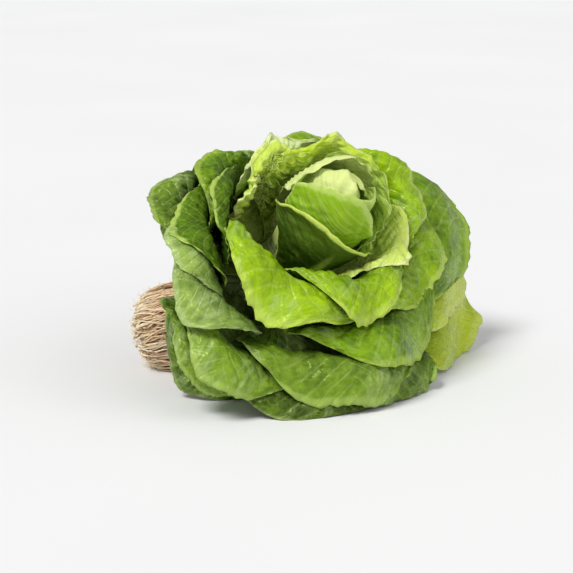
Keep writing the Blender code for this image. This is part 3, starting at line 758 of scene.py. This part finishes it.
# The columns are those of the outer leaves
INNER_LEAVES = {
    "inner_leaf_01": (34, 0.375, 40, 5.0, 0.74, 0.006, 0.02, 1.1),
    "inner_leaf_02": (-4, 0.418, 52, 5.8, 0.74, 0.006, 0.06, 0.1),
    "inner_leaf_03": (150, 0.400, 50, 4.7, 0.80, 0.006, 0.03, 0.9),
    "inner_leaf_04": (92, 0.470, 46, 5.4, 0.74, 0.006, 0.04, 0.3),
    "inner_leaf_05": (-165, 0.460, 46, 4.8, 0.70, 0.012, 0.03, 1.2),
    "inner_leaf_06": (-53, 0.500, 60, 6.1, 0.74, 0.006, 0.07, 0.5),
    "inner_leaf_07": (-120, 0.592, 44, 5.2, 0.70, 0.008, 0.02, -0.5),
    "inner_leaf_08": (50, 0.560, 62, 5.6, 0.74, 0.006, 0.05, -0.3),
    "inner_leaf_09": (180, 0.525, 44, 5.35, 0.22, 0.006, 0.01, 0.5),
}
inner_skin = leaf_skin("inner_leaf_skin", deep=(0.065, 0.17, 0.0), bright=(0.305, 0.50, 0.0),
                       rib=(0.60, 0.72, 0.16), back=INNER_BACK, shine_paint=0.4)
frilled_skin = leaf_skin("frilled_leaf_skin", deep=(0.10, 0.22, 0.002), bright=(0.48, 0.66, 0.02),
                         rib=(0.72, 0.82, 0.26), back=INNER_BACK, streaks=0.7, margin=0.9, shine_paint=0.0)
pale_skin = leaf_skin("pale_leaf_skin", deep=(0.44, 0.58, 0.14), bright=(0.70, 0.80, 0.38),
                      rib=(0.82, 0.88, 0.56), back=(0.60, 0.72, 0.24), shine_paint=0.0)
lobe_skin = leaf_skin("pale_lobe_skin", deep=(0.30, 0.45, 0.01), bright=(0.58, 0.74, 0.08),
                      rib=(0.80, 0.88, 0.40), back=INNER_BACK, streaks=0.35, margin=0.6, shine_paint=0.0)
# Skin, and how much the blade swells and its rim waves, of those that differ
UNLIKE = {"inner_leaf_01": (lobe_skin, 0.8, 1.0), "inner_leaf_03": (frilled_skin, 1.5, 1.5),
          "inner_leaf_05": (frilled_skin, 1.5, 2.2), "inner_leaf_07": (shaded_skin, 1.0, 0.6),
          "inner_leaf_09": (pale_skin, 0.8, 0.6)}
for name, (*form, tone) in INNER_LEAVES.items():
    coat, *rim = UNLIKE.get(name, (inner_skin,))
    grow_leaf(name, open_leaf(*form), ORDER.index(name), tone, OPEN_COLUMNS, OPEN_ROWS,
              coat, "inner_leaf", *rim)

# Curled threads hang at the torn side of the frilled leaf
THREADS, THREAD_STEPS, THREAD_CURL, THREAD_STEP = 60, 7, 0.55, (1.0, 2.4)
THREAD_RADIUS, THREAD_TAPER = 0.34 * MM, 0.04
THREAD_GREEN, THREAD_PALE, THREAD_SPECK, THREAD_RELIEF = (0.26, 0.42, 0.01), (0.66, 0.76, 0.24), 700, 0.1 * MM
rand = random.Random(41)
torn = open_leaf(*INNER_LEAVES["inner_leaf_03"][:-1])
threads = []
for _ in range(THREADS):
    point = torn(0.0, rand.uniform(0.7, 1.0), rand.uniform(0.35, 0.85))
    way = Vector((rand.uniform(-0.6, 0.6), -1, rand.uniform(-0.8, 0.6))).normalized()
    points = [point]
    for _ in range(THREAD_STEPS):
        way = (way + Vector(rand.gauss(0, THREAD_CURL) for _ in range(3))).normalized()
        point = point + way * rand.uniform(*THREAD_STEP) * MM
        points.append(point)
    fine = [between(points, i / 2) for i in range(2 * THREAD_STEPS + 1)]
    radii = [THREAD_RADIUS * (1 - THREAD_TAPER * i) for i in range(len(fine))]
    threads.append((fine, radii, rand.uniform(0.5, 1)))
thread_skin, start = skin("leaf_thread")
fibre, _, _ = start.stored("fibre")
speck = start.noise(start.node("TexCoord", output="Object"), THREAD_SPECK, 2)
finish(thread_skin,
       Base_Color=(fibre * 0.6 + speck * 0.5).mix(THREAD_GREEN, THREAD_PALE),
       Roughness=speck * 0.2 + 0.35,
       Normal=speck.bump(THREAD_RELIEF))
verts, faces, fibres = strands(threads, 5)
add_piece("inner_leaf_threads", verts, faces, thread_skin, "inner_leaf", ["inner_leaf_03"], fibre=fibres)

# The heart leaves ----------------------------------------------------------------------------------
# Pale, crisp young leaves cupped over one another round the stem's tip. Their ribs and feet are nearly
# white, and their rims bright green.

HEART_CENTRE, HEART_INNER_RADIUS, HEART_INNER_HEIGHT, HEART_DEEPER = 92 * MM, 18 * MM, 32 * MM, 10 * MM
HEART_FOOT_RADIUS, HEART_LAYER_GAP = 12.6 * MM, 2.55 * MM
HEART_HALF_WIDTH, HEART_FOOT_WIDTH = math.radians(72), math.radians(10)
HEART_TIP_ROUND, HEART_TIP_SHARE, HEART_COLUMNS, HEART_ROWS = 0.07, 0.85, 48, 60


def heart_leaf(azimuth, layer, half_width, wave, past_axis, flare, lean):
    """The blade of a heart leaf: on a shell that closes over the head's axis."""
    grow = layer * HEART_LAYER_GAP
    foot = math.pi - math.asin(HEART_FOOT_RADIUS / (HEART_INNER_HEIGHT + HEART_DEEPER + grow))
    tip = -math.radians(past_axis)
    outward = Vector((math.cos(math.radians(azimuth)), math.sin(math.radians(azimuth)), 0))
    sideways = Vector((-outward.y, outward.x, 0))

    def place(phase, u, v):
        along, share = outline(u, v, phase, HEART_TIP_ROUND, HEART_TIP_SHARE)
        polar = foot + (tip + math.radians(lean) * u - foot) * along
        side = u * (HEART_FOOT_WIDTH + share * (HEART_HALF_WIDTH * half_width - HEART_FOOT_WIDTH))
        way = (math.cos(side) * (math.sin(polar) * outward + math.cos(polar) * Vector((0, 0, 1)))
               + math.sin(side) * sideways)
        wide = HEART_INNER_RADIUS + grow
        tall = HEART_INNER_HEIGHT + grow + (HEART_DEEPER if way.z < 0 else 0)
        reach = 1 / math.sqrt((way.xy.length / wide) ** 2 + (way.z / tall) ** 2)
        reach += MM * wave * max(u * u, v * v * v) * math.sin(6 * u + 5 * v + phase)
        reach += MM * flare * smooth(0.8, 1, v)
        return on_table(Vector((0, 0, HEART_CENTRE)) + reach * way)
    return place


# Azimuth, layer, half width as a share, wave in millimetres, degrees past the axis, flare of the lip in
# millimetres, lean to one side in degrees, and tone
HEART_LEAVES = {
    "heart_leaf_01": (10, 0, 0.80, 0.4, 18, 0, 0, 1.7),
    "heart_leaf_02": (150, 1, 0.85, 0.3, 8, 0, 0, 1.7),
    "heart_leaf_03": (-80, 2, 0.90, 0.3, -2, 0.5, 0, 2.0),
    "heart_leaf_04": (20, 3, 0.95, 0.4, -12, 1, 0, 1.3),
    "heart_leaf_05": (160, 4, 1.00, 0.4, -16, 1, 0, 2.0),
    "heart_leaf_06": (-40, 5, 0.98, 0.4, -20, 2, 10, 0.2),
    "heart_leaf_07": (85, 6, 1.00, 0.4, -34, 3, 0, 1.2),
    "heart_leaf_08": (-24, 7, 1.25, 0.4, -58, 4, 26, -0.2),
}
heart_skin = leaf_skin("heart_leaf_skin", deep=(0.08, 0.22, 0.0), bright=(0.345, 0.56, 0.002),
                       rib=(0.68, 0.78, 0.28), back=(0.22, 0.41, 0.002), streaks=0.6, shine_paint=0.0)
# The outermost one is painted dark outside, as the shade it lies in, but for its pale rim
heart_shade_skin = leaf_skin("heart_shade_leaf_skin", deep=(0.03, 0.09, 0.002), bright=(0.22, 0.40, 0.01),
                             rib=(0.60, 0.74, 0.14), back=(0.02, 0.055, 0.002),
                             streaks=0.3, margin=1.0, rib_width=9.0, shine_paint=0.0)
for seed, (name, (*form, tone)) in enumerate(HEART_LEAVES.items()):
    grow_leaf(name, heart_leaf(*form), seed, tone, HEART_COLUMNS, HEART_ROWS,
              heart_shade_skin if name == "heart_leaf_08" else heart_skin, "heart_leaf", puff=0.8, frill=1.0)

# The studio ----------------------------------------------------------------------------------------
# A pale, matt table that runs out to a white room, a soft light from the upper left and a wider, weaker
# one from the right, both from in front.

FLOOR_SIZE, FLOOR_WHITE, FLOOR_SHADE = 12.0, (0.88, 0.88, 0.88), (0.84, 0.84, 0.845)
ROOM_WHITE, ROOM_LIGHT = (1.0, 1.0, 1.0, 1), 0.38
floor_mesh = bpy.data.meshes.new("table_top")
corner = FLOOR_SIZE / 2
floor_mesh.from_pydata([(-corner, -corner, 0), (corner, -corner, 0), (corner, corner, 0),
                        (-corner, corner, 0)], [], [(0, 1, 2, 3)])
floor = bpy.data.objects.new("table_top", floor_mesh)
bpy.context.scene.collection.objects.link(floor)
floor_skin, start = skin("table_white")
haze = start.noise(start.node("TexCoord", output="Object"), 3, 1)
finish(floor_skin, Base_Color=haze.mix(FLOOR_SHADE, FLOOR_WHITE), Roughness=haze * 0.1 + 0.7)
floor_mesh.materials.append(floor_skin)

room = bpy.data.worlds.new("room")
room.use_nodes = True
room.node_tree.nodes["Background"].inputs["Color"].default_value = ROOM_WHITE
room.node_tree.nodes["Background"].inputs["Strength"].default_value = ROOM_LIGHT
bpy.context.scene.world = room

# Each light's breadth and height in the sky in degrees, its heading, and its strength
LIGHTS = {"key_light": (20, 52, -130, 2.3), "fill_light": (50, 35, -40, 0.8)}
for name, (breadth, rise, heading, strength) in LIGHTS.items():
    lamp = bpy.data.lights.new(name, "SUN")
    lamp.angle, lamp.energy = math.radians(breadth), strength
    light = bpy.data.objects.new(name, lamp)
    rise, heading = math.radians(rise), math.radians(heading)
    flat = math.cos(rise)
    toward = Vector((flat * math.cos(heading), flat * math.sin(heading), math.sin(rise)))
    light.rotation_euler = toward.to_track_quat("Z", "Y").to_euler()
    bpy.context.scene.collection.objects.link(light)

# The camera looks along +Y and down a little, from 1.2 metres
IMAGE_SIZE, PIXEL, DISTANCE, ELEVATION, SENSOR = 573, 0.69 * MM, 1.2, math.radians(14), 36.0
SEEN_POINT, SEEN_AT = Vector((-0.04906, 0.03205, 0.060)), (240, 283)
camera_data = bpy.data.cameras.new("camera")
camera_data.sensor_width = SENSOR
camera_data.lens = SENSOR * DISTANCE / (IMAGE_SIZE * PIXEL)
camera = bpy.data.objects.new("camera", camera_data)
back = Vector((0, -math.cos(ELEVATION), math.sin(ELEVATION)))
upward = Vector((0, math.sin(ELEVATION), math.cos(ELEVATION)))
right, down = ((at - IMAGE_SIZE / 2) * PIXEL for at in SEEN_AT)
target = SEEN_POINT - Vector((right, 0, 0)) + upward * down
camera.location = target + back * DISTANCE
camera.rotation_euler = (-back).to_track_quat("-Z", "Y").to_euler()
bpy.context.scene.collection.objects.link(camera)
bpy.context.scene.camera = camera
bpy.context.scene.view_settings.view_transform = "Standard"
